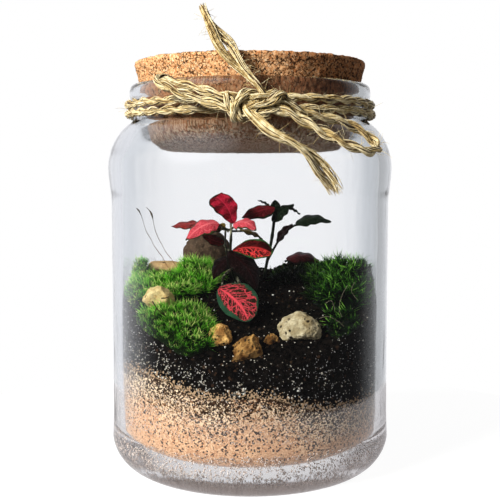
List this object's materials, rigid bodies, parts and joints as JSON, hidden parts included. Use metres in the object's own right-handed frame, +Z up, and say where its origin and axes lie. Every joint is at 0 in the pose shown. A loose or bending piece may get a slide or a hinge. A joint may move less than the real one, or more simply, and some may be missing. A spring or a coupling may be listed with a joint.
{
  "type": "planted glass terrarium",
  "caption": "Closed glass jar terrarium with a cork stopper, twine bow, sand bed, dark soil, stones, moss cushions and red nerve plants.",
  "frame": {"origin": "middle of the jar's foot, at the level it stands on", "axes": "+Z up along the jar's axis, -Y to the front where the bow is tied, +X to the jar's right seen from the front"},
  "size_m": [0.1016, 0.105, 0.1609],
  "materials": {
    "glass": "clear, glossy, slightly grey-green",
    "cork": "matte pressed cork grains with dark pits",
    "twine": "dry twisted sisal fibres",
    "sand": "fine loose sand, light grains with dark ones among them",
    "soil": "dark damp peaty soil with white perlite specks",
    "cream_stone": "matte, porous, with dark pits",
    "tan_stone": "matte, rough and angular",
    "brown_stone": "matte, rounded",
    "moss": "bright yellow-green soft shoots",
    "dark_moss": "dark green star-shaped shoots",
    "red_leaf": "satin leaf, crimson and pink with dark green net veins and margin",
    "dark_leaf": "satin leaf, near-black green"
  },
  "bodies": {
    "root": {"glass_jar": "glass", "cork_stopper": "cork", "neck_twine": "twine", "bow_loop_left": "twine", "bow_loop_right": "twine", "bow_tail_down": "twine", "bow_tail_up": "twine", "sand_layer": "sand", "soil": "soil", "pebble_left": "cream_stone", "stone_right": "cream_stone", "stone_front_left": "tan_stone", "stone_front_middle": "tan_stone", "stone_small": "tan_stone", "slab_back": "tan_stone", "stone_back": "brown_stone", "fittonia_front": "red_leaf", "fittonia_back": "dark_leaf", "fittonia_right": "red_leaf", "moss_back_left": "moss", "moss_front_left": "moss", "moss_right": "dark_moss", "moss_right_front": "dark_moss"}
  },
  "joints": []
}
